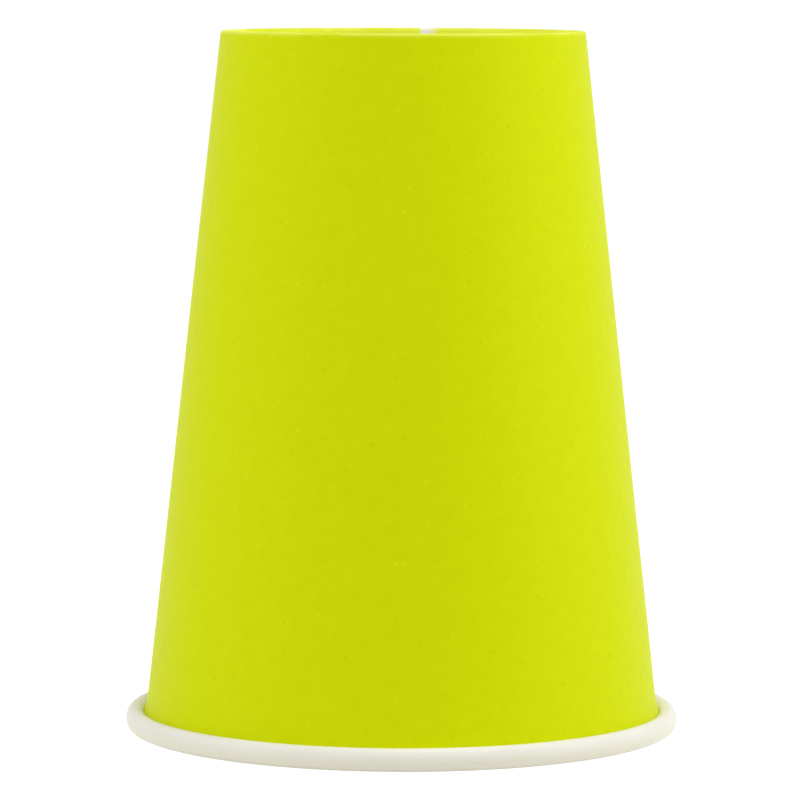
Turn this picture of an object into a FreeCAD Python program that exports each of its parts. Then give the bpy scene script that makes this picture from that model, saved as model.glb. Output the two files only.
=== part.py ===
import FreeCAD, Part
import math
import os

# Paper cup in the 12 oz size, standing upside down on its rolled rim.
# Two pieces of coated paperboard, as the real cup is made:
#   sidewall     one fan-shaped blank, wrapped into a cone and lapped along a side seam,
#                its wide edge rolled outwards into the rim, its narrow edge folded up inside as the hem
#   bottom_disc  a disc drawn into a shallow dish, whose skirt is held between the wall and the hem
#
# Millimetres. +Z is up, the rim rests on Z = 0, the cup's axis is the Z axis, and the seam is at the back (+Y).
# A section lies in the half plane of radius r and height z. Each sheet is drawn there as its centreline:
# straight runs and bends that follow each other, as the board is formed.

# Sizes of the cup
rim_diameter = 90.0         # over the rolled rim
cup_height = 113.5          # from the rim's crest to the crest of the base fold
wall_taper = 6.335          # degrees between the wall and the axis

# Board
wall_board = 0.35           # thickness of the sidewall blank
bottom_board = 0.28         # thickness of the bottom blank

# Rolled rim: the wall flares, then three bends to the same side make an oval roll, and its end is tucked
# beside the flare. Radii are to the centreline, and directions are degrees above horizontal.
flare_radius = 13.2
flare_turn = 23.0           # degrees that the wall turns outwards before the roll
crest_radius = 0.95         # bend that the cup stands on
side_radius = 2.25          # flatter bend on the outside of the roll
crest_end = 60.0            # direction of the sheet where the crest bend ends
side_end = 121.0            # direction where the side bend ends
tuck_back = 6.0             # the tucked end lies along the flare where it has these degrees left to turn
tuck_length = 0.6
tuck_gap = 0.1              # free space between the flare and the tucked end

# Base
hem_height = 7.0            # from the base fold's crest to the hem's free edge
recess_depth = 9.0          # from the base fold's crest to the bottom's outer face
corner_radius = 0.9         # bend between the bottom and its skirt, to the centreline
skirt_clearance = 0.2       # between the skirt's edge and the start of the base fold

# Side seam: the outer layer's corner is clipped at the base, where the blank's two edges only meet
seam_start = 84.3           # degrees about +Z from +X: the blank's inner edge
seam_lap = 9.5              # degrees over which the blank lies on itself
seam_ramp = 4.0             # degrees over which the outer layer climbs onto the inner one, and the roll makes room
seam_clip = 0.8             # wall beside the base fold that stays one layer thick
seam_climb = 2.5            # length of wall, next to that, over which the outer layer reaches its place
ramp_sections = 7           # sections that each change beside the seam is lofted through

up_wall = 90.0 + wall_taper         # direction of the wall towards the base
down_wall = up_wall - 180.0         # direction of the wall towards the rim
crest_start = down_wall + flare_turn
fold_radius = (wall_board + bottom_board) / 2.0
Z_AXIS = FreeCAD.Vector(0, 0, 1)
ORIGIN = FreeCAD.Vector(0, 0, 0)


def sin(degrees):
    return math.sin(math.radians(degrees))


def cos(degrees):
    return math.cos(math.radians(degrees))


# ---- a formed sheet, in section ----

def run(length):
    """A straight stretch of sheet."""
    return {"length": length, "turn": 0.0}


def bend(radius, turn):
    """A bend of the sheet's centreline; turn is in degrees, positive to the left."""
    return {"radius": radius, "turn": turn}


def trace(start, heading, moves, offset, climb=0.0, climbing_move=0):
    """The line at offset to the left of a sheet's centreline: its corner points, and each bend's middle point.
    One straight move drifts a further climb to the left, and all after it stay there."""
    r, z = start
    left = heading + 90.0
    points = [(r + offset * cos(left), z + offset * sin(left))]
    middles = []
    for number, move in enumerate(moves):
        if number == climbing_move:
            offset += climb
        if move["turn"] == 0.0:
            r += move["length"] * cos(heading)
            z += move["length"] * sin(heading)
            middles.append(None)
        else:
            side = math.copysign(1.0, move["turn"])
            towards = heading + 90.0 * side
            centre = (r + move["radius"] * cos(towards), z + move["radius"] * sin(towards))
            reach = move["radius"] - side * offset
            half = towards + 180.0 + move["turn"] / 2.0
            middles.append((centre[0] + reach * cos(half), centre[1] + reach * sin(half)))
            heading += move["turn"]
            outwards = towards + 180.0 + move["turn"]
            r = centre[0] + move["radius"] * cos(outwards)
            z = centre[1] + move["radius"] * sin(outwards)
        left = heading + 90.0
        points.append((r + offset * cos(left), z + offset * sin(left)))
    return points, middles


def edges_through(points, middles):
    """Lines and arcs in the half plane Y = 0, one between each two points."""
    edges = []
    for start, middle, end in zip(points, middles, points[1:]):
        a, b = FreeCAD.Vector(start[0], 0, start[1]), FreeCAD.Vector(end[0], 0, end[1])
        if middle is None:
            edges.append(Part.LineSegment(a, b).toShape())
        else:
            edges.append(Part.Arc(a, FreeCAD.Vector(middle[0], 0, middle[1]), b).toShape())
    return edges


def sheet_section(start, heading, moves, thickness, lift=0.0, climb=0.0, climbing_move=0):
    """Closed outline of a sheet of one thickness, lift to the left of the centreline given."""
    left_points, left_middles = trace(start, heading, moves, lift + thickness / 2.0, climb, climbing_move)
    right_points, right_middles = trace(start, heading, moves, lift - thickness / 2.0, climb, climbing_move)
    back_points, back_middles = right_points[::-1], right_middles[::-1]
    points = left_points + back_points + left_points[:1]
    middles = left_middles + [None] + back_middles + [None]
    return Part.Wire(edges_through(points, middles))


def turned(wire, angle):
    """A copy of a section, turned about the cup's axis."""
    copy = wire.copy()
    copy.rotate(ORIGIN, Z_AXIS, angle)
    return copy


def wrapped(wire, first_angle, last_angle):
    """The solid that a section sweeps between two angles about the cup's axis."""
    return Part.Face(turned(wire, first_angle)).revolve(ORIGIN, Z_AXIS, last_angle - first_angle)


# ---- the sidewall's centreline ----

def rim_bends(room):
    """The flare and the roll. The last radius brings the sheet back beside the flare, leaving the gap and the room."""
    along = down_wall + flare_turn - tuck_back
    first = crest_end - along
    second = side_end - along
    reached = flare_radius * (1.0 - cos(tuck_back))
    reached += crest_radius * (cos(tuck_back) - cos(first))
    reached += side_radius * (cos(first) - cos(second))
    top_radius = (reached - wall_board - tuck_gap - room) / (1.0 - cos(second))
    return [
        bend(flare_radius, flare_turn),
        bend(crest_radius, crest_end - crest_start),
        bend(side_radius, side_end - crest_end),
        bend(top_radius, 360.0 - second),
        run(tuck_length),
    ]


def rim_reach():
    """From the wall's centreline, where the flare begins, out to the roll's side."""
    flare = flare_radius * (sin(crest_start) - sin(down_wall))
    crest = crest_radius * (sin(crest_end) - sin(crest_start))
    return flare + crest + side_radius * (1.0 - sin(crest_end)) + wall_board / 2.0


def rim_drop():
    """From where the flare begins down to the rim's crest."""
    flare = flare_radius * (cos(crest_start) - cos(down_wall))
    return flare + crest_radius * (1.0 - cos(crest_start)) + wall_board / 2.0


fold_drop = fold_radius * (1.0 - cos(down_wall)) + wall_board / 2.0
wall_run = (cup_height - rim_drop() - fold_drop) / cos(wall_taper)
flare_start = (rim_diameter / 2.0 - rim_reach(), rim_drop())
fold_end = (flare_start[0] - wall_run * sin(wall_taper), cup_height - fold_drop)


def along_wall(distance, inwards=0.0):
    """A point on the wall's centreline, measured down from the base fold, or beside it towards the axis."""
    return (
        fold_end[0] + distance * cos(down_wall) - inwards * cos(wall_taper),
        fold_end[1] + distance * sin(down_wall) - inwards * sin(wall_taper),
    )


# ---- the two pieces ----

def blank_section(climb=0.0, room=0.0):
    """The whole blank from hem to tuck. With a climb, the wall and the roll lie that much further to the left;
    with room, the tucked end stays that much further from the flare."""
    hem_run = (hem_height - fold_drop) / cos(wall_taper)
    hem_start = along_wall(hem_run, inwards=2.0 * fold_radius)
    base_moves = [run(hem_run), bend(fold_radius, -180.0), run(seam_clip)]
    rest = wall_run - seam_clip - seam_climb
    return sheet_section(
        hem_start, up_wall, base_moves + [run(seam_climb), run(rest)] + rim_bends(room), wall_board,
        climb=climb, climbing_move=len(base_moves))


def outer_layer_section():
    """The lapped edge of the blank, one board further out on the wall and one further in inside the roll."""
    start = along_wall(seam_clip + seam_climb)
    moves = [run(wall_run - seam_clip - seam_climb)] + rim_bends(wall_board)
    return sheet_section(start, down_wall, moves, wall_board, lift=wall_board)


def changing(first_angle, climbs):
    """A short stretch of the blank from an angle to seam_ramp degrees on, over which the roll makes room for a second
    layer and, if it climbs, the blank comes to lie one board further out."""
    sections = []
    for step in range(ramp_sections):
        share = step / (ramp_sections - 1)
        room = wall_board * (1.0 - cos(180.0 * share)) / 2.0
        angle = first_angle + (-seam_ramp if climbs else seam_ramp) * share
        sections.append(turned(blank_section(room if climbs else 0.0, room), angle))
    return Part.makeLoft(sections, True, False)


def sidewall():
    """The wrapped blank: one layer nearly all round, and the lap of two layers with a short change on each side."""
    lap_start = seam_start - seam_lap
    climb_start = seam_start + seam_ramp
    widening_start = lap_start - seam_ramp
    single = wrapped(blank_section(), climb_start, widening_start + 360.0)
    inner_layer = wrapped(blank_section(room=wall_board), lap_start, seam_start)
    outer_layer = wrapped(outer_layer_section(), lap_start, seam_start)
    widening = changing(widening_start, climbs=False)
    climbing = changing(climb_start, climbs=True)
    return single.multiFuse([widening, inner_layer, outer_layer, climbing]).removeSplitter()


def bottom_disc():
    """The drawn bottom: flat panel, small corner, and a skirt that lies along the wall's inner face."""
    spacing = (wall_board + bottom_board) / 2.0
    panel_height = cup_height - recess_depth - bottom_board / 2.0
    skirt_end = along_wall(skirt_clearance, inwards=spacing)
    turn = up_wall
    corner_rise = corner_radius * (1.0 - cos(turn))
    skirt_run = (skirt_end[1] - panel_height - corner_rise) / cos(wall_taper)
    panel_run = skirt_end[0] + skirt_run * sin(wall_taper) - corner_radius * sin(turn)
    section = sheet_section(
        (0.0, panel_height), 0.0, [run(panel_run), bend(corner_radius, turn), run(skirt_run)], bottom_board)
    return wrapped(section, 0.0, 360.0)


os.makedirs("parts", exist_ok=True)
for name, piece in {"sidewall": sidewall(), "bottom_disc": bottom_disc()}.items():
    box = piece.optimalBoundingBox(True, False)
    print(
        f"{name}: {len(piece.Solids)} solid, valid {piece.isValid()}, {piece.Volume:.0f} mm3, "
        f"X {box.XMin:.2f} to {box.XMax:.2f}, Y {box.YMin:.2f} to {box.YMax:.2f}, Z {box.ZMin:.2f} to {box.ZMax:.2f}")
    piece.exportStep(f"parts/{name}.step")
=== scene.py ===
import math

import bpy
from mathutils import Matrix, Vector


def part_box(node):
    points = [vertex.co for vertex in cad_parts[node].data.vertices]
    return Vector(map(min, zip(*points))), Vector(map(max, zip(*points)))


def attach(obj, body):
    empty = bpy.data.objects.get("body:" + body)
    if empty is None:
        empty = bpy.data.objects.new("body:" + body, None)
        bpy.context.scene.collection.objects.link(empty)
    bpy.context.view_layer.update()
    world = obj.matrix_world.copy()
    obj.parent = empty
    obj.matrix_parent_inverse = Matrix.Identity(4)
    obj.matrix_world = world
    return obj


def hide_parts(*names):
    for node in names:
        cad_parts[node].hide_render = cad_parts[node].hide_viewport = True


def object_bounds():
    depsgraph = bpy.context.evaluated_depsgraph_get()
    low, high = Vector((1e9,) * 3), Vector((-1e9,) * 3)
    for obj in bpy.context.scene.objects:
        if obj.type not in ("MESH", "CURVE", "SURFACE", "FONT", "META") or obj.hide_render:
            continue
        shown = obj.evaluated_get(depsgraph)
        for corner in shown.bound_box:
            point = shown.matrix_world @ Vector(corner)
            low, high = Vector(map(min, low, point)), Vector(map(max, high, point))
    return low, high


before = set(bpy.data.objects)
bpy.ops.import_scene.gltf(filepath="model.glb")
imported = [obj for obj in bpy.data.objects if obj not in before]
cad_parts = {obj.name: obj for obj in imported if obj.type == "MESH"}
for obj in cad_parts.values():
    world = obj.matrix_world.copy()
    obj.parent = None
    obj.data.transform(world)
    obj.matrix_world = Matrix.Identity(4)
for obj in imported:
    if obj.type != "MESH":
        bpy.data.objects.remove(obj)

mm = 0.001
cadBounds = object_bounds()
print("frame loaded:", ", ".join(sorted(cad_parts)))


# A formed sheet is drawn as its centreline, with x as the radius and z as the height. The sidewall's print
# and the bottom's outer face are to the left of the way it runs

def run(length, pieces):
    return {"length": length, "pieces": pieces}


def bend(radius, turn, pieces):
    return {"radius": radius, "turn": turn, "pieces": pieces}    # degrees, positive to the left


def sectionCurve(name, start, heading, moves):
    x, z = start
    direction = math.radians(heading)
    points = [(x, z)]
    for move in moves:
        turn = math.radians(move.get("turn", 0.0)) / move["pieces"]
        if turn:
            # a piece of a bend is a chord, which leaves at half its turn
            chord = 2.0 * move["radius"] * math.sin(abs(turn) / 2.0)
        else:
            chord = move["length"] / move["pieces"]
        for _ in range(move["pieces"]):
            x += chord * math.cos(direction + turn / 2.0)
            z += chord * math.sin(direction + turn / 2.0)
            direction += turn
            points.append((x, z))
    curve = bpy.data.curves.new(name, "CURVE")
    curve.dimensions = "3D"
    spline = curve.splines.new("POLY")
    spline.points.add(len(points) - 1)
    for point, (px, pz) in zip(spline.points, points):
        point.co = (px, 0.0, pz, 1.0)
    section = bpy.data.objects.new(name, curve)
    bpy.context.scene.collection.objects.link(section)
    return section


# Small helpers for node trees

def newTree(name, kind, inputs, outputs):
    tree = bpy.data.node_groups.new(name, kind)
    for label, socket in inputs.items():
        tree.interface.new_socket(name=label, in_out="INPUT", socket_type="NodeSocket" + socket)
    for label, socket in outputs.items():
        tree.interface.new_socket(name=label, in_out="OUTPUT", socket_type="NodeSocket" + socket)
    return tree, tree.nodes.new("NodeGroupInput").outputs, tree.nodes.new("NodeGroupOutput").inputs


def plug(tree, socket, value):
    if isinstance(value, bpy.types.NodeSocket):
        tree.links.new(value, socket)
    else:
        socket.default_value = value


def addNode(tree, kind, inputs=(), **settings):
    made = tree.nodes.new(kind)
    for name, value in settings.items():
        setattr(made, name, value)
    for key, value in dict(inputs).items():
        plug(tree, made.inputs[key], value)
    return made


def calc(tree, operation, *values):
    made = tree.nodes.new("ShaderNodeMath")
    made.operation = operation
    for socket, value in zip(made.inputs, values):
        plug(tree, socket, value)
    return made.outputs[0]


def plus(tree, first, *others):
    for other in others:
        first = calc(tree, "ADD", first, other)
    return first


def minus(tree, first, second):
    return calc(tree, "SUBTRACT", first, second)


def times(tree, first, *others):
    for other in others:
        first = calc(tree, "MULTIPLY", first, other)
    return first


def fromZero(tree, wave):
    # a wave from -1 to 1 becomes one from 0 to 1
    return calc(tree, "MULTIPLY_ADD", wave, 0.5, 0.5)


def vectorCalc(tree, operation, *values):
    made = tree.nodes.new("ShaderNodeVectorMath")
    made.operation = operation
    for socket, value in zip(made.inputs, values):
        plug(tree, socket, value)
    return made.outputs[0]


def easeBetween(tree, value, low, high, toLow=0.0, toHigh=1.0):
    return addNode(
        tree, "ShaderNodeMapRange",
        {"Value": value, "From Min": low, "From Max": high, "To Min": toLow, "To Max": toHigh},
        interpolation_type="SMOOTHSTEP").outputs["Result"]


# Geometry Nodes: a section turned about the cup's axis, one column of points for each step round it

def wrapTree():
    tree, given, result = newTree(
        "Wrap a section", "GeometryNodeTree",
        {
            "Section": "Object",
            "Steps": "Int",
            "Seam Angle": "Float",
            "Lap Steps": "Int",
            "Lap Angle": "Float",
        },
        {
            "Sheet": "Geometry",
            "Turned": "Float",      # from the seam, clockwise seen from above
            "Station": "Float",     # along the section
            "Radius": "Float",
            "Facing": "Vector",     # towards the left of the section
            "Running": "Vector",    # the way that the section runs
        })
    section = addNode(tree, "GeometryNodeObjectInfo", {"Object": given["Section"]}).outputs["Geometry"]
    size = addNode(tree, "GeometryNodeAttributeDomainSize", {"Geometry": section}, component="CURVE")
    rows = size.outputs["Point Count"]
    columns = plus(tree, given["Steps"], given["Lap Steps"], 1.0)
    grid = addNode(tree, "GeometryNodeMeshGrid", {"Vertices X": columns, "Vertices Y": rows}).outputs["Mesh"]

    index = tree.nodes.new("GeometryNodeInputIndex").outputs[0]
    row = calc(tree, "FLOORED_MODULO", index, rows)
    # the half keeps a rounding error from giving the column before
    column = calc(tree, "FLOOR", calc(tree, "DIVIDE", plus(tree, index, 0.5), rows))

    def sampled(field, kind):
        return addNode(
            tree, "GeometryNodeSampleIndex", {"Geometry": section, "Value": field, "Index": row},
            data_type=kind, domain="POINT").outputs["Value"]

    place = sampled(tree.nodes.new("GeometryNodeInputPosition").outputs[0], "FLOAT_VECTOR")
    tangent = sampled(tree.nodes.new("GeometryNodeInputTangent").outputs[0], "FLOAT_VECTOR")
    station = sampled(tree.nodes.new("GeometryNodeSplineParameter").outputs["Length"], "FLOAT")

    # a whole turn in equal steps, and then the lap in steps of its own
    whole = calc(tree, "MINIMUM", column, given["Steps"])
    extra = calc(tree, "MAXIMUM", minus(tree, column, given["Steps"]), 0.0)
    lapStep = calc(tree, "DIVIDE", given["Lap Angle"], calc(tree, "MAXIMUM", given["Lap Steps"], 1.0))
    turned = plus(
        tree, times(tree, calc(tree, "DIVIDE", whole, given["Steps"]), math.tau), times(tree, extra, lapStep))
    angle = minus(tree, given["Seam Angle"], turned)

    def swung(vector):
        return addNode(
            tree, "ShaderNodeVectorRotate", {"Vector": vector, "Angle": angle},
            rotation_type="Z_AXIS").outputs["Vector"]

    heading = addNode(tree, "ShaderNodeSeparateXYZ", {"Vector": tangent}).outputs
    across = addNode(
        tree, "ShaderNodeCombineXYZ", {"X": times(tree, heading["Z"], -1.0), "Z": heading["X"]}).outputs[0]
    radius = addNode(tree, "ShaderNodeSeparateXYZ", {"Vector": place}).outputs["X"]
    keep = addNode(tree, "GeometryNodeCaptureAttribute", {"Geometry": grid}, domain="POINT")
    for label, kind, field in (
            ("Turned", "FLOAT", turned), ("Station", "FLOAT", station), ("Radius", "FLOAT", radius),
            ("Facing", "VECTOR", swung(across)), ("Running", "VECTOR", swung(tangent)),
            ("Place", "VECTOR", swung(place))):
        keep.capture_items.new(kind, label)
        plug(tree, keep.inputs[label], field)
    sheet = addNode(
        tree, "GeometryNodeSetPosition",
        {"Geometry": keep.outputs["Geometry"], "Position": keep.outputs["Place"]})
    plug(tree, result["Sheet"], sheet.outputs["Geometry"])
    for label in ("Turned", "Station", "Radius", "Facing", "Running"):
        plug(tree, result[label], keep.outputs[label])
    return tree


def wrapIn(tree, wrap, given, labels):
    wrapped = addNode(tree, "GeometryNodeGroup", node_tree=wrap)
    for label in labels:
        plug(tree, wrapped.inputs[label], given[label])
    return wrapped.outputs


def moveSheet(tree, sheet, offset):
    return addNode(tree, "GeometryNodeSetPosition", {"Geometry": sheet, "Offset": offset}).outputs["Geometry"]


def store(tree, sheet, name, value, kind="FLOAT", domain="POINT"):
    return addNode(
        tree, "GeometryNodeStoreNamedAttribute", {"Geometry": sheet, "Name": name, "Value": value},
        data_type=kind, domain=domain).outputs["Geometry"]


def finishTree(tree, result, sheet, material):
    smooth = addNode(tree, "GeometryNodeSetShadeSmooth", {"Geometry": sheet})
    real = addNode(tree, "GeometryNodeRealizeInstances", {"Geometry": smooth.outputs["Geometry"]})
    painted = addNode(
        tree, "GeometryNodeSetMaterial", {"Geometry": real.outputs["Geometry"], "Material": material})
    plug(tree, result["Sheet"], painted.outputs["Geometry"])


def blankTree(wrap):
    lengths = (
        "Wall Radius", "Hem Length", "Climb Start", "Lap Start", "Flare Start", "Tuck Start", "Tuck End",
        "Lift", "Tuck Room", "Rib Height", "Rib Fade", "Rib Edge Margin", "Rib Fold Margin",
        "Swell Height", "Swell In", "Swell Out",
        "Hem Bounce Start", "Hem Bounce End", "Crease Highlight Start", "Crease Highlight End")
    tree, given, result = newTree(
        "Wrapped blank", "GeometryNodeTree",
        {
            "Section": "Object",
            "Steps": "Int",
            "Seam Angle": "Float",
            "Lap Steps": "Int",
            "Lap Angle": "Float",
            "Ramp Angle": "Float",
            "Ribs": "Int",
            "Swell Scale": "Float",
            "Swell Stretch": "Float",
            "Swell Left": "Float",
            "Taper": "Float",
            "Print": "Material",
            **{label: "Float" for label in lengths},
        },
        {"Sheet": "Geometry"})
    wrapped = wrapIn(tree, wrap, given, ("Section", "Steps", "Seam Angle", "Lap Steps", "Lap Angle"))
    turned = wrapped["Turned"]
    station = wrapped["Station"]

    # the outer layer climbs onto the blank's first edge over the last few degrees, below the clipped corner
    onRamp = easeBetween(tree, turned, minus(tree, math.tau, given["Ramp Angle"]), math.tau)
    belowClip = easeBetween(tree, station, given["Climb Start"], given["Lap Start"])
    lift = times(tree, onRamp, belowClip, given["Lift"])

    # at the lap the roll's end stops short of the wall, to leave room for the second layer
    rampEnd = plus(tree, given["Lap Angle"], given["Ramp Angle"])
    besideLap = easeBetween(tree, turned, given["Lap Angle"], rampEnd, 1.0, 0.0)
    inTuck = easeBetween(tree, station, given["Tuck Start"], given["Tuck End"])
    short = times(tree, calc(tree, "MAXIMUM", besideLap, onRamp), inTuck, given["Tuck Room"])

    # knurled hem: upright ribs that fade out before its free edge and before the fold
    raised = fromZero(tree, calc(tree, "COSINE", times(tree, turned, given["Ribs"])))
    ribFull = plus(tree, given["Rib Edge Margin"], given["Rib Fade"])
    fadeIn = easeBetween(tree, station, given["Rib Edge Margin"], ribFull)
    ribEnd = minus(tree, given["Hem Length"], given["Rib Fold Margin"])
    fadeOut = easeBetween(tree, station, minus(tree, ribEnd, given["Rib Fade"]), ribEnd, 1.0, 0.0)
    ribs = times(tree, fadeIn, fadeOut, raised, given["Rib Height"])

    # the wall isn't a perfect cone: broad and very low swells, little of which is left in the rim
    place = tree.nodes.new("GeometryNodeInputPosition").outputs[0]
    stretch = addNode(tree, "ShaderNodeCombineXYZ", {"X": 1.0, "Y": 1.0, "Z": given["Swell Stretch"]})
    stretched = vectorCalc(tree, "MULTIPLY", place, stretch.outputs[0])
    noise = addNode(
        tree, "ShaderNodeTexNoise",
        {"Vector": stretched, "Scale": given["Swell Scale"], "Detail": 1.0}).outputs[0]
    swellFull = plus(tree, given["Lap Start"], given["Swell In"])
    fromFold = easeBetween(tree, station, given["Climb Start"], swellFull)
    swellEnd = minus(tree, given["Flare Start"], given["Swell Out"])
    toRim = easeBetween(tree, station, swellEnd, given["Flare Start"], 1.0, given["Swell Left"])
    swell = times(tree, minus(tree, noise, 0.5), given["Swell Height"], fromFold, toRim)

    outwards = vectorCalc(tree, "MULTIPLY", wrapped["Facing"], plus(tree, lift, ribs, swell))
    back = vectorCalc(tree, "MULTIPLY", wrapped["Running"], short)
    sheet = moveSheet(tree, wrapped["Sheet"], vectorCalc(tree, "SUBTRACT", outwards, back))

    # the flat blank's own coordinates, which the board's grain follows
    sine = calc(tree, "SINE", given["Taper"])
    slant = plus(
        tree, calc(tree, "DIVIDE", given["Wall Radius"], sine), minus(tree, station, given["Hem Length"]))
    spread = times(tree, turned, sine)
    flat = addNode(tree, "ShaderNodeCombineXYZ", {
        "X": times(tree, slant, calc(tree, "SINE", spread)),
        "Y": times(tree, slant, calc(tree, "COSINE", spread)),
    }).outputs[0]
    sheet = store(tree, sheet, "blank", flat, "FLOAT2", "CORNER")

    # what the print's material reads: the way from the first edge, the hem's painted bounce light, and the
    # fold's cracked ink with its painted highlight
    sheet = store(tree, sheet, "fromEdge", times(tree, turned, wrapped["Radius"]))
    pressed = easeBetween(tree, station, given["Hem Bounce Start"], given["Hem Bounce End"], 1.0, 0.0)
    sheet = store(tree, sheet, "pressed", pressed)
    creased = easeBetween(tree, station, given["Crease Highlight Start"], given["Crease Highlight End"], 1.0, 0.0)
    sheet = store(tree, sheet, "creased", creased)

    # the outer layer's corner is clipped beside the fold and the hem: all that is past a whole turn there
    justPast = math.tau + 0.001
    inCorner = times(
        tree, calc(tree, "GREATER_THAN", turned, justPast),
        calc(tree, "LESS_THAN", station, given["Lap Start"]))
    clipped = addNode(
        tree, "GeometryNodeDeleteGeometry", {"Geometry": sheet, "Selection": inCorner}, domain="FACE")
    finishTree(tree, result, clipped.outputs["Geometry"], given["Print"])
    return tree


def discTree(wrap):
    tree, given, result = newTree(
        "Drawn disc", "GeometryNodeTree",
        {
            "Section": "Object",
            "Steps": "Int",
            "Seam Angle": "Float",
            "Panel Radius": "Float",
            "Dish": "Float",
            "Pleats": "Int",
            "Pleat Height": "Float",
            "Pleat Start": "Float",
            "Pleat Hold": "Float",
            "Pleat End": "Float",
            "Drift Scale": "Float",
            "Drift": "Float",
            "Join Within": "Float",
            "Board": "Material",
        },
        {"Sheet": "Geometry"})
    wrapped = wrapIn(tree, wrap, given, ("Section", "Steps", "Seam Angle"))
    turned = wrapped["Turned"]
    station = wrapped["Station"]
    panel = given["Panel Radius"]

    # the panel is dished a little into the cup
    inside = calc(tree, "MINIMUM", calc(tree, "DIVIDE", station, panel), 1.0)
    dish = times(tree, minus(tree, times(tree, inside, inside), 1.0), given["Dish"])

    # it puckers where it was drawn round the corner, in pleats that drift off an even spacing
    place = tree.nodes.new("GeometryNodeInputPosition").outputs[0]
    noise = addNode(tree, "ShaderNodeTexNoise", {"Vector": place, "Scale": given["Drift Scale"]}).outputs[0]
    phase = plus(tree, times(tree, turned, given["Pleats"]), times(tree, noise, given["Drift"]))
    raised = fromZero(tree, calc(tree, "SINE", phase))
    fadeIn = easeBetween(tree, station, minus(tree, panel, given["Pleat Start"]), panel)
    holdEnd = plus(tree, panel, given["Pleat Hold"])
    fadeOut = easeBetween(tree, station, holdEnd, plus(tree, panel, given["Pleat End"]), 1.0, 0.0)
    pleats = times(tree, raised, fadeIn, fadeOut, given["Pleat Height"])
    offset = vectorCalc(tree, "MULTIPLY", wrapped["Facing"], plus(tree, dish, pleats))
    sheet = moveSheet(tree, wrapped["Sheet"], offset)

    # the flat disc's own coordinates
    flat = addNode(tree, "ShaderNodeCombineXYZ", {
        "X": times(tree, station, calc(tree, "COSINE", turned)),
        "Y": times(tree, station, calc(tree, "SINE", turned)),
    }).outputs[0]
    sheet = store(tree, sheet, "blank", flat, "FLOAT2", "CORNER")
    closed = addNode(
        tree, "GeometryNodeMergeByDistance", {"Geometry": sheet, "Distance": given["Join Within"]})
    finishTree(tree, result, closed.outputs["Geometry"], given["Board"])
    return tree


def freeze(piece):
    evaluated = piece.evaluated_get(bpy.context.evaluated_depsgraph_get())
    mesh = bpy.data.meshes.new_from_object(evaluated)
    piece.modifiers.clear()
    piece.data = mesh


def grow(name, tree, values):
    piece = bpy.data.objects.new(name, bpy.data.meshes.new(name))
    bpy.context.scene.collection.objects.link(piece)
    modifier = piece.modifiers.new("Shape", "NODES")
    modifier.node_group = tree
    for item in tree.interface.items_tree:
        if item.item_type == "SOCKET" and item.in_out == "INPUT":
            modifier[item.identifier] = values[item.name]
    freeze(piece)
    return piece


def thicken(piece, board, faces, sharpAngle=50.0):
    # the outer side keeps the first material, the food side gets the second and the cut edges get the third
    piece.data.materials.clear()
    for material in faces:
        piece.data.materials.append(material)
    modifier = piece.modifiers.new("Board", "SOLIDIFY")
    modifier.thickness = board
    modifier.offset = 0.0
    modifier.use_even_offset = True
    modifier.use_quality_normals = True
    modifier.material_offset = 1
    modifier.material_offset_rim = 2
    freeze(piece)
    piece.data.set_sharp_from_angle(angle=math.radians(sharpAngle))


# Materials

def newMaterial(name):
    material = bpy.data.materials.new(name)
    material.use_nodes = True
    tree = material.node_tree
    return material, tree, tree.nodes["Principled BSDF"]


def mixColours(tree, share, first, second):
    made = tree.nodes.new("ShaderNodeMix")
    made.data_type = "RGBA"
    # several of this node's sockets have the same name, so they are reached by number
    plug(tree, made.inputs[0], share)
    plug(tree, made.inputs[6], first)
    plug(tree, made.inputs[7], second)
    return made.outputs[2]


def colour(red, green, blue):
    # written as it should look, turned into the light it stands for
    def linear(value):
        return value / 12.92 if value <= 0.04045 else ((value + 0.055) / 1.055) ** 2.4
    return (linear(red), linear(green), linear(blue), 1.0)


def acrossNoise(tree, noise, toLow=0.0, toHigh=1.0, reach=0.2):
    # a noise's values are nearly all this close to its middle
    return easeBetween(tree, noise, 0.5 - reach, 0.5 + reach, toLow, toHigh)


grainLook = {
    "stretch": (1.0, 0.4, 1.0),     # fibres lie mostly along the board's grain
    "speckSpacing": 5.0 * mm,
    "speckRagged": 0.5 * mm,
    "speckSize": 0.05,              # radius of the smallest, as a share of the spacing
    "speckSpread": 0.045,           # how much larger the largest is
    "speckCore": 0.25,              # share of the radius that is at full strength
    "bareShare": 0.1,               # share of the places that stay without a speck
    "darkShare": 0.5,
}


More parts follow.
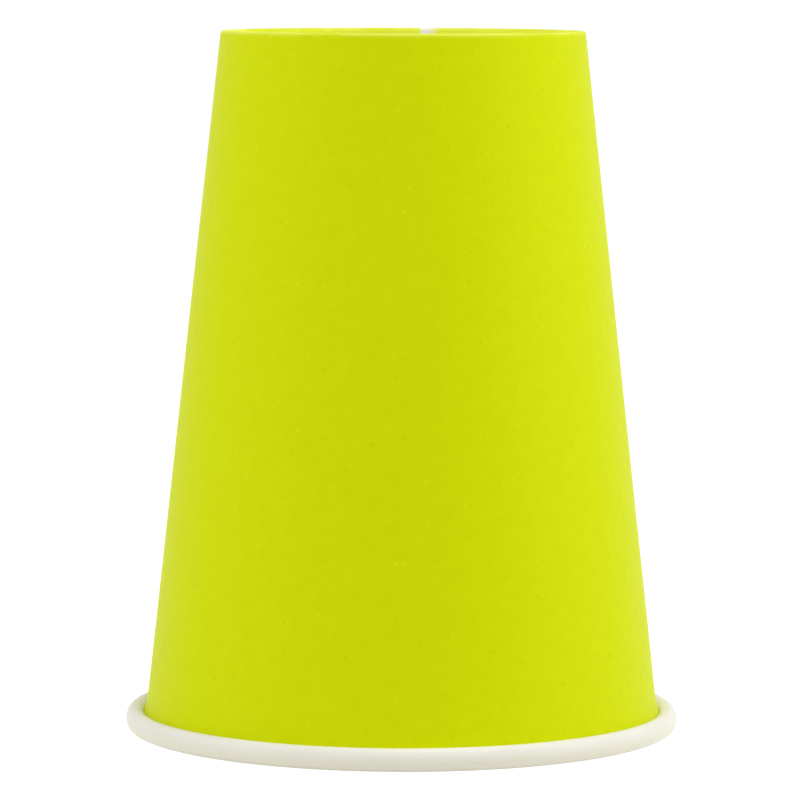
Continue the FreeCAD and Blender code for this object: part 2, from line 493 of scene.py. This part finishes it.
def grainGroup(look):
    tree, given, result = newTree(
        "Board grain", "ShaderNodeTree",
        {"Vector": "Vector", "Fibre Size": "Float", "Mottle Size": "Float"},
        {"Fibres": "Float", "Mottle": "Float", "Flecks": "Float", "Fleck Tone": "Float"})
    along = vectorCalc(tree, "MULTIPLY", given["Vector"], look["stretch"])
    fibres = addNode(
        tree, "ShaderNodeTexNoise",
        {"Vector": along, "Scale": calc(tree, "DIVIDE", 1.0, given["Fibre Size"]),
         "Detail": 4.0, "Roughness": 0.65, "Distortion": 0.6}).outputs
    mottle = addNode(
        tree, "ShaderNodeTexNoise",
        {"Vector": given["Vector"], "Scale": calc(tree, "DIVIDE", 1.0, given["Mottle Size"]),
         "Detail": 5.0, "Roughness": 0.6}).outputs[0]

    # small ragged specks, some pale and some dark
    push = (look["speckRagged"], look["speckRagged"], 0.0)
    ragged = vectorCalc(tree, "MULTIPLY_ADD", fibres["Color"], push, given["Vector"])
    cells = addNode(
        tree, "ShaderNodeTexVoronoi", {"Vector": ragged, "Scale": 1.0 / look["speckSpacing"]},
        voronoi_dimensions="2D", feature="F1").outputs
    chance = addNode(tree, "ShaderNodeSeparateXYZ", {"Vector": cells["Color"]}).outputs
    size = calc(tree, "MULTIPLY_ADD", chance["Z"], look["speckSpread"], look["speckSize"])
    speck = easeBetween(tree, cells["Distance"], times(tree, size, look["speckCore"]), size, 1.0, 0.0)
    plug(tree, result["Fibres"], fibres[0])
    plug(tree, result["Mottle"], mottle)
    plug(tree, result["Flecks"], times(
        tree, calc(tree, "GREATER_THAN", chance["X"], look["bareShare"]), speck))
    plug(tree, result["Fleck Tone"], calc(tree, "GREATER_THAN", chance["Y"], look["darkShare"]))
    return tree


def grainIn(tree, group, vector, look):
    grain = addNode(tree, "ShaderNodeGroup", node_tree=group)
    plug(tree, grain.inputs["Vector"], vector)
    grain.inputs["Fibre Size"].default_value = look["fibreSize"]
    grain.inputs["Mottle Size"].default_value = look["mottleSize"]
    return grain.outputs


def onBlank(tree):
    return addNode(tree, "ShaderNodeUVMap", uv_map="blank").outputs["UV"]


def stored(tree, name):
    return addNode(tree, "ShaderNodeAttribute", attribute_name=name).outputs["Fac"]


def finishMaterial(tree, shader, look, base, height):
    plug(tree, shader.inputs["Base Color"], base)
    shader.inputs["Specular IOR Level"].default_value = look["specular"]
    bump = addNode(tree, "ShaderNodeBump", {"Height": height, "Distance": look["grainHeight"]})
    plug(tree, shader.inputs["Normal"], bump.outputs["Normal"])


limeLook = {
    "inkDeep": colour(0.828, 0.873, 0.02),
    "inkThin": colour(0.84, 0.884, 0.03),
    "speckDark": colour(0.79, 0.84, 0.0),
    "speckPale": colour(0.875, 0.915, 0.15),
    "speckStrength": 0.65,
    "speckHeight": 0.6,
    # cracked ink along the fold, which is also a painted highlight on its crest
    "inkCrackedHighlight": colour(0.97, 0.99, 0.5),
    "patchSize": 12.0 * mm,         # of the stretches of fold that are cracked and highlit alike
    "patchEdges": (0.35, 0.6),      # the noise's values from the least worn to the most worn
    "patchCrackedHighlight": (0.1, 0.65),    # how much of the ink is cracked and painted as highlight there
    "crackBreaks": 0.6,             # share of that between the fibres
    # the hem's painted bounce light
    "inkHemBounce": colour(0.945, 0.975, 0.27),
    "hemBounceShare": (0.75, 0.9),
    "bareBoard": colour(0.965, 0.945, 0.935),
    "inkStart": 1.1 * mm,           # from the blank's first edge
    "inkFull": 3.3 * mm,
    "inkRagged": 1.2 * mm,
    "fibreSize": 0.3 * mm,
    "mottleSize": 2.5 * mm,
    "grainHeight": 0.01 * mm,
    "roughness": (0.45, 0.56),
    "specular": 0.06,
    "sheen": (1.0, 1.0, 0.15, 1.0),
}


def limePrint(group, look):
    material, tree, shader = newMaterial("limePrint")
    grain = grainIn(tree, group, onBlank(tree), look)
    ink = mixColours(tree, acrossNoise(tree, grain["Mottle"]), look["inkDeep"], look["inkThin"])
    speck = mixColours(tree, grain["Fleck Tone"], look["speckDark"], look["speckPale"])
    ink = mixColours(tree, times(tree, grain["Flecks"], look["speckStrength"]), ink, speck)

    # the ink is cracked along the base's fold, in some places more than in others; the same paler colour also
    # paints a highlight on the fold's crest
    patchNoise = addNode(
        tree, "ShaderNodeTexNoise",
        {"Vector": onBlank(tree), "Scale": 1.0 / look["patchSize"], "Detail": 2.0}).outputs[0]
    crackedAndHighlit = times(
        tree, stored(tree, "creased"), easeBetween(tree, patchNoise, *look["patchEdges"], *look["patchCrackedHighlight"]),
        acrossNoise(tree, grain["Fibres"], look["crackBreaks"], 1.0))
    ink = mixColours(tree, crackedAndHighlit, ink, look["inkCrackedHighlight"])

    # painted bounce light: the hem's ink is paler, for the light that the white bottom disc throws up onto it
    # in the recess
    bounceLit = times(tree, stored(tree, "pressed"), acrossNoise(tree, grain["Fibres"], *look["hemBounceShare"]))
    ink = mixColours(tree, bounceLit, ink, look["inkHemBounce"])

    # a strip beside the blank's first edge is left bare for the seal, and the ink fades in beside it
    wander = minus(tree, grain["Mottle"], 0.5)
    fromEdge = calc(tree, "MULTIPLY_ADD", wander, look["inkRagged"], stored(tree, "fromEdge"))
    inked = easeBetween(tree, fromEdge, look["inkStart"], look["inkFull"])
    base = mixColours(tree, inked, look["bareBoard"], ink)
    plug(tree, shader.inputs["Roughness"], acrossNoise(tree, grain["Fibres"], *look["roughness"]))
    plug(tree, shader.inputs["Specular Tint"], look["sheen"])
    raised = calc(tree, "MULTIPLY_ADD", grain["Flecks"], look["speckHeight"], grain["Fibres"])
    finishMaterial(tree, shader, look, base, raised)
    return material


coatLook = {
    "warm": colour(0.92, 0.905, 0.87),
    "pale": colour(0.935, 0.923, 0.895),
    # the rim's painted lime-yellow bounce light, low round its crest
    "crest": colour(0.925, 0.914, 0.845),
    "paintedBounceLow": 1.0 * mm,           # height up to which the painted bounce tint is full
    "paintedBounceHigh": 3.4 * mm,          # height where it is gone
    "fibreSize": 0.4 * mm,
    "mottleSize": 9.0 * mm,
    "grainHeight": 0.002 * mm,
    "roughness": (0.36, 0.41),
    "specular": 0.12,
}


def coatedBoard(group, look):
    material, tree, shader = newMaterial("coatedBoard")
    grain = grainIn(tree, group, onBlank(tree), look)
    board = mixColours(tree, acrossNoise(tree, grain["Mottle"]), look["warm"], look["pale"])
    # painted bounce light: low down towards its crest the rim is tinted yellower, for the lime light that the
    # wall throws onto it off the floor
    place = tree.nodes.new("ShaderNodeTexCoord").outputs["Object"]
    height = addNode(tree, "ShaderNodeSeparateXYZ", {"Vector": place}).outputs["Z"]
    paintedBounce = easeBetween(tree, height, look["paintedBounceLow"], look["paintedBounceHigh"], 1.0, 0.0)
    base = mixColours(tree, paintedBounce, board, look["crest"])
    plug(tree, shader.inputs["Roughness"], acrossNoise(tree, grain["Mottle"], *look["roughness"], reach=0.15))
    finishMaterial(tree, shader, look, base, grain["Fibres"])
    return material


edgeLook = {
    "dark": colour(0.8, 0.77, 0.68),
    "pale": colour(0.92, 0.9, 0.83),
    "fibreSize": 0.12 * mm,
    "mottleSize": 2.5 * mm,
    "grainHeight": 0.03 * mm,
    "roughness": 0.85,
    "specular": 0.3,
}


def cutEdge(group, look):
    material, tree, shader = newMaterial("cutEdge")
    grain = grainIn(tree, group, tree.nodes.new("ShaderNodeTexCoord").outputs["Object"], look)
    pulp = mixColours(tree, acrossNoise(tree, grain["Fibres"], reach=0.15), look["dark"], look["pale"])
    shader.inputs["Roughness"].default_value = look["roughness"]
    finishMaterial(tree, shader, look, pulp, grain["Fibres"])
    return material


plainLook = {
    "warm": colour(0.895, 0.885, 0.845),
    "pale": colour(0.925, 0.918, 0.885),
    "speck": colour(0.84, 0.81, 0.74),
    "speckStrength": 0.5,
    "fibreSize": 0.35 * mm,
    "mottleSize": 4.0 * mm,
    "grainHeight": 0.015 * mm,
    "roughness": (0.57, 0.7),
    "specular": 0.35,
}


def plainBoard(group, look):
    material, tree, shader = newMaterial("plainBoard")
    grain = grainIn(tree, group, onBlank(tree), look)
    board = mixColours(tree, acrossNoise(tree, grain["Fibres"]), look["warm"], look["pale"])
    base = mixColours(tree, times(tree, grain["Flecks"], look["speckStrength"]), board, look["speck"])
    plug(tree, shader.inputs["Roughness"], acrossNoise(tree, grain["Mottle"], *look["roughness"]))
    finishMaterial(tree, shader, look, base, grain["Fibres"])
    return material


grain = grainGroup(grainLook)
lime = limePrint(grain, limeLook)
coated = coatedBoard(grain, coatLook)
edge = cutEdge(grain, edgeLook)
bottomBoard = plainBoard(grain, plainLook)
print("materials made")


# The sidewall: hem, base fold, wall and rolled rim, all one blank

blank = {
    "board": 0.35 * mm,
    "taper": 6.335,                 # degrees between wall and axis
    "foldRadius": 0.315 * mm,       # to the board's centreline, as all the radii here
    "hemHeight": 7.0 * mm,
    "flareRadius": 13.2 * mm,
    "flareTurn": 23.0,
    "crestRadius": 0.95 * mm,
    "sideRadius": 2.25 * mm,
    "crestEnd": 60.0,               # degrees above level, where one bend of the roll gives way to the next
    "sideEnd": 121.0,
    "topRadius": 1.03 * mm,
    "lidRadius": 1.8 * mm,          # the roll is flatter past its top, and its end rests on the flare
    "lidGap": 0.04 * mm,
    "tuckRoom": 0.5 * mm,           # the roll's end stops this much earlier at the lap
    "seamAngle": 84.3,              # degrees from +X
    "lapAngle": 9.5,
    "rampAngle": 4.0,
    "lapGap": 0.007 * mm,           # between the two layers
    "clip": 0.8 * mm,               # wall beside the fold that stays one layer thick
    "climb": 2.5 * mm,
    "steps": 540,                   # round the cup
    "lapSteps": 14,
    "pieces": {                     # straight pieces that each stretch of the section is drawn with
        "hem": 12, "fold": 12, "clip": 2, "climb": 4, "wall": 14,
        "flare": 8, "crest": 12, "side": 8, "top": 6, "lid": 8,
    },
    "ribs": 90,
    "ribHeight": 0.07 * mm,
    "ribFade": 1.0 * mm,
    "ribEdgeMargin": 0.3 * mm,      # plain hem beside its free edge
    "ribFoldMargin": 0.6 * mm,      # plain hem before the fold
    "swellHeight": 0.12 * mm,
    "swellScale": 38.0,             # swells in a metre
    "swellStretch": 0.45,           # the less, the longer they are up the wall
    "swellIn": 6.0 * mm,
    "swellOut": 4.0 * mm,
    "swellLeft": 0.1,               # share that goes on round the rim
    "pressed": (-0.1 * mm, 0.4 * mm),       # where the hem's painted bounce light ends, from the start of the fold
    "creased": (-0.35 * mm, 0.15 * mm),     # where the cracked ink and its painted highlight end, from the end of the fold
}


def sidewallShape(low, high):
    board = blank["board"]
    fold = blank["foldRadius"]
    flare, crest, side = blank["flareRadius"], blank["crestRadius"], blank["sideRadius"]
    top, lid = blank["topRadius"], blank["lidRadius"]
    taper = math.radians(blank["taper"])
    flareTurn = math.radians(blank["flareTurn"])
    down = taper - math.pi / 2.0
    crestStart = down + flareTurn
    crestEnd, sideEnd = math.radians(blank["crestEnd"]), math.radians(blank["sideEnd"])

    # the lid's bend ends where the sheet's outer face meets the flare's; places are from the flare's centre
    centre = (flare - crest) * Vector((math.sin(crestStart), -math.cos(crestStart)))
    centre += (crest - side) * Vector((math.sin(crestEnd), -math.cos(crestEnd)))
    centre += (side - top) * Vector((math.sin(sideEnd), -math.cos(sideEnd)))
    centre -= Vector((0.0, lid - top))
    outer = lid + board / 2.0
    free = flare - board / 2.0 - blank["lidGap"]
    share = (free ** 2 - centre.length_squared - outer ** 2) / (2.0 * outer * centre.length)
    lidTurn = math.atan2(-centre.y, -centre.x) + math.asin(share)

    reach = flare * (math.sin(crestStart) - math.sin(down))
    reach += crest * (math.sin(crestEnd) - math.sin(crestStart))
    reach += side * (1.0 - math.sin(crestEnd)) + board / 2.0
    rimDrop = flare * (math.cos(crestStart) - math.cos(down))
    rimDrop += crest * (1.0 - math.cos(crestStart)) + board / 2.0
    foldDrop = fold * (1.0 - math.cos(down)) + board / 2.0
    hemRun = (blank["hemHeight"] - foldDrop) / math.cos(taper)
    wallRun = (high.z - low.z - rimDrop - foldDrop) / math.cos(taper)
    foldEnd = Vector((high.x - reach - wallRun * math.sin(taper), high.z - foldDrop))

    hemStart = foldEnd + hemRun * Vector((math.sin(taper), -math.cos(taper)))
    hemStart -= 2.0 * fold * Vector((math.cos(taper), math.sin(taper)))
    wallStart = hemRun + math.pi * fold
    climbStart = wallStart + blank["clip"]
    flareStart = wallStart + wallRun
    tuckStart = flareStart + flare * flareTurn + crest * (crestEnd - crestStart) + side * (sideEnd - crestEnd)
    pieces = blank["pieces"]
    moves = [
        run(hemRun, pieces["hem"]),
        bend(fold, -180.0, pieces["fold"]),
        run(blank["clip"], pieces["clip"]),
        run(blank["climb"], pieces["climb"]),
        run(wallRun - blank["clip"] - blank["climb"], pieces["wall"]),
        bend(flare, blank["flareTurn"], pieces["flare"]),
        bend(crest, blank["crestEnd"] - math.degrees(crestStart), pieces["crest"]),
        bend(side, blank["sideEnd"] - blank["crestEnd"], pieces["side"]),
        bend(top, 180.0 - blank["sideEnd"], pieces["top"]),
        bend(lid, math.degrees(lidTurn), pieces["lid"]),
    ]
    return hemStart, moves, {
        "Hem Length": hemRun,
        "Climb Start": climbStart,
        "Lap Start": climbStart + blank["climb"],
        "Flare Start": flareStart,
        "Tuck Start": tuckStart,
        "Tuck End": tuckStart + top * (math.pi - sideEnd) + lid * lidTurn,
        "Hem Bounce Start": hemRun + blank["pressed"][0],
        "Hem Bounce End": hemRun + blank["pressed"][1],
        "Crease Highlight Start": wallStart + blank["creased"][0],
        "Crease Highlight End": wallStart + blank["creased"][1],
        "Wall Radius": foldEnd.x,
    }


wrap = wrapTree()
low = Vector(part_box("sidewall")[0])
high = Vector(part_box("sidewall")[1])
hemStart, moves, stations = sidewallShape(low, high)
section = sectionCurve("sidewallSection", hemStart, 90.0 + blank["taper"], moves)
sidewall = grow("paperSidewall", blankTree(wrap), {
    "Section": section,
    "Steps": blank["steps"],
    "Seam Angle": math.radians(blank["seamAngle"]),
    "Lap Steps": blank["lapSteps"],
    "Lap Angle": math.radians(blank["lapAngle"]),
    "Ramp Angle": math.radians(blank["rampAngle"]),
    "Lift": blank["board"] + blank["lapGap"],
    "Tuck Room": blank["tuckRoom"],
    "Ribs": blank["ribs"],
    "Rib Height": blank["ribHeight"],
    "Rib Fade": blank["ribFade"],
    "Rib Edge Margin": blank["ribEdgeMargin"],
    "Rib Fold Margin": blank["ribFoldMargin"],
    "Swell Height": blank["swellHeight"],
    "Swell Scale": blank["swellScale"],
    "Swell Stretch": blank["swellStretch"],
    "Swell In": blank["swellIn"],
    "Swell Out": blank["swellOut"],
    "Swell Left": blank["swellLeft"],
    "Taper": math.radians(blank["taper"]),
    "Print": lime,
    **stations,
})
bpy.data.objects.remove(section)
thicken(sidewall, blank["board"], [lime, coated, edge])
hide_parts("sidewall")
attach(sidewall, "root")
print("sidewall made:", len(sidewall.data.polygons), "faces")


# The bottom: a disc drawn into a shallow dish

disc = {
    "board": 0.28 * mm,
    "cornerRadius": 0.9 * mm,
    "steps": 480,
    "pieces": {"panel": 16, "corner": 9, "skirt": 8},
    "dish": 0.15 * mm,
    "pleats": 84,
    "pleatHeight": 0.09 * mm,
    "pleatStart": 2.2 * mm,         # before the panel's edge
    "pleatHold": 1.4 * mm,          # past it
    "pleatEnd": 2.6 * mm,
    "driftScale": 300.0,            # of the noise, in a metre
    "drift": 5.0,                   # radians of a pleat's wave
    "joinWithin": 0.01 * mm,        # points this close are one, which closes the disc's middle and its seam
}


def discShape(low, high):
    taper = math.radians(blank["taper"])
    corner = disc["cornerRadius"]
    panel = low.z + disc["board"] / 2.0
    turn = 90.0 + blank["taper"]
    skirtEnd = high.z - disc["board"] / 2.0 * math.sin(taper)
    cornerRise = corner * (1.0 - math.cos(math.radians(turn)))
    skirtRun = (skirtEnd - panel - cornerRise) / math.cos(taper)
    panelRun = high.x - disc["board"] / 2.0 - corner
    pieces = disc["pieces"]
    moves = [
        run(panelRun, pieces["panel"]),
        bend(corner, turn, pieces["corner"]),
        run(skirtRun, pieces["skirt"]),
    ]
    return (0.0, panel), moves, panelRun


low = Vector(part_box("bottom_disc")[0])
high = Vector(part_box("bottom_disc")[1])
centre, moves, panelRun = discShape(low, high)
section = sectionCurve("bottomSection", centre, 0.0, moves)
bottom = grow("paperBottom", discTree(wrap), {
    "Section": section,
    "Steps": disc["steps"],
    "Seam Angle": 0.0,
    "Panel Radius": panelRun,
    "Dish": disc["dish"],
    "Pleats": disc["pleats"],
    "Pleat Height": disc["pleatHeight"],
    "Pleat Start": disc["pleatStart"],
    "Pleat Hold": disc["pleatHold"],
    "Pleat End": disc["pleatEnd"],
    "Drift Scale": disc["driftScale"],
    "Drift": disc["drift"],
    "Join Within": disc["joinWithin"],
    "Board": bottomBoard,
})
bpy.data.objects.remove(section)
thicken(bottom, disc["board"], [bottomBoard, coated, edge])
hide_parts("bottom_disc")
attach(bottom, "root")
print("bottom made:", len(bottom.data.polygons), "faces")


# Floor, lights and camera

studio = {
    "floorSize": 40.0,
    "floorColour": colour(0.8, 0.8, 0.8),
    "floorRoughness": 0.9,
    "floorGlow": 0.26,              # the floor is lit from inside, as a light table is
    "floorSeen": 0.79,              # the glow that the camera and reflections get
    "white": (1.0, 1.0, 1.0, 1.0),
    "worldStrength": 0.4,
    "worldSeen": 1.0,
    "lights": [
        # name, azimuth from the camera (right is positive), elevation, distance, width, height, power
        ("left", -75.0, 18.0, 0.9, 0.5, 0.9, 2.22),
        ("highLeft", -60.0, 38.0, 0.9, 0.6, 0.6, 1.17),
        ("right", 75.0, 18.0, 0.9, 0.5, 0.9, 2.11),
        ("highRight", 90.0, 38.0, 0.9, 0.6, 0.6, 1.74),
        ("top", 45.0, 75.0, 0.9, 0.5, 0.5, 2.73),
    ],
    "camera": {
        "distance": 0.769,
        "height": 0.1262,
        "aim": (-0.00037, 0.05359),     # x and z
        "lens": 213.72,                 # millimetres, as is the sensor
        "sensor": 36.0,
        "roll": 0.15,
        "clip": (0.05, 100.0),
    },
}


def glowStrength(tree, rays, lighting, direct):
    # one strength for what it lights, and another where it is seen, in the camera or mirrored
    mirrored = calc(tree, "MAXIMUM", rays["Is Glossy Ray"], rays["Is Transmission Ray"])
    seen = calc(tree, "MAXIMUM", rays["Is Camera Ray"], mirrored)
    return addNode(
        tree, "ShaderNodeMapRange", {"Value": seen, "To Min": lighting, "To Max": direct}).outputs["Result"]


def paleFloor():
    material, tree, shader = newMaterial("paleFloor")
    shader.inputs["Base Color"].default_value = studio["floorColour"]
    shader.inputs["Roughness"].default_value = studio["floorRoughness"]
    shader.inputs["Specular IOR Level"].default_value = 0.0
    rays = tree.nodes.new("ShaderNodeLightPath").outputs
    strength = glowStrength(tree, rays, studio["floorGlow"], studio["floorSeen"])
    glow = addNode(tree, "ShaderNodeEmission", {"Color": studio["white"], "Strength": strength})
    lit = addNode(tree, "ShaderNodeAddShader", {0: shader.outputs["BSDF"], 1: glow.outputs[0]})
    # nothing is hidden when the cup is looked at from below
    below = tree.nodes.new("ShaderNodeNewGeometry").outputs["Backfacing"]
    clear = tree.nodes.new("ShaderNodeBsdfTransparent")
    mixed = addNode(
        tree, "ShaderNodeMixShader",
        {0: times(tree, below, rays["Is Camera Ray"]), 1: lit.outputs[0], 2: clear.outputs[0]})
    plug(tree, tree.nodes["Material Output"].inputs["Surface"], mixed.outputs[0])
    return material


def addFloor():
    half = studio["floorSize"] / 2.0
    mesh = bpy.data.meshes.new("floor")
    corners = [(-half, -half, 0.0), (half, -half, 0.0), (half, half, 0.0), (-half, half, 0.0)]
    mesh.from_pydata(corners, [], [(0, 1, 2, 3)])
    mesh.materials.append(paleFloor())
    floor = bpy.data.objects.new("floor", mesh)
    bpy.context.scene.collection.objects.link(floor)


def addWorld():
    world = bpy.data.worlds.new("studio")
    bpy.context.scene.world = world
    world.use_nodes = True
    tree = world.node_tree
    rays = tree.nodes.new("ShaderNodeLightPath").outputs
    background = tree.nodes["Background"].inputs
    plug(tree, background["Color"], studio["white"])
    plug(tree, background["Strength"], glowStrength(
        tree, rays, studio["worldStrength"], studio["worldSeen"]))


def addLight(name, azimuth, elevation, distance, width, height, power, target):
    data = bpy.data.lights.new(name, "AREA")
    data.shape = "RECTANGLE"
    data.size = width
    data.size_y = height
    data.energy = power
    light = bpy.data.objects.new(name, data)
    bpy.context.scene.collection.objects.link(light)
    a, e = math.radians(azimuth), math.radians(elevation)
    away = Vector((math.sin(a) * math.cos(e), -math.cos(a) * math.cos(e), math.sin(e)))
    light.location = target + away * distance
    light.rotation_euler = away.to_track_quat("Z", "Y").to_euler()


def addCamera():
    shot = studio["camera"]
    data = bpy.data.cameras.new("camera")
    data.lens = shot["lens"]
    data.sensor_width = shot["sensor"]
    data.clip_start, data.clip_end = shot["clip"]
    camera = bpy.data.objects.new("camera", data)
    bpy.context.scene.collection.objects.link(camera)
    stand = Vector((0.0, -shot["distance"], shot["height"]))
    aim = Vector((shot["aim"][0], 0.0, shot["aim"][1])) - stand
    turn = aim.to_track_quat("-Z", "Y").to_matrix().to_4x4()
    roll = Matrix.Rotation(math.radians(shot["roll"]), 4, "Z")
    camera.matrix_world = Matrix.Translation(stand) @ turn @ roll
    bpy.context.scene.camera = camera


addFloor()
addWorld()
middle = (cadBounds[0] + cadBounds[1]) / 2.0
for light in studio["lights"]:
    addLight(*light, middle)
addCamera()
bpy.context.scene.view_settings.view_transform = "Standard"
print("studio made")
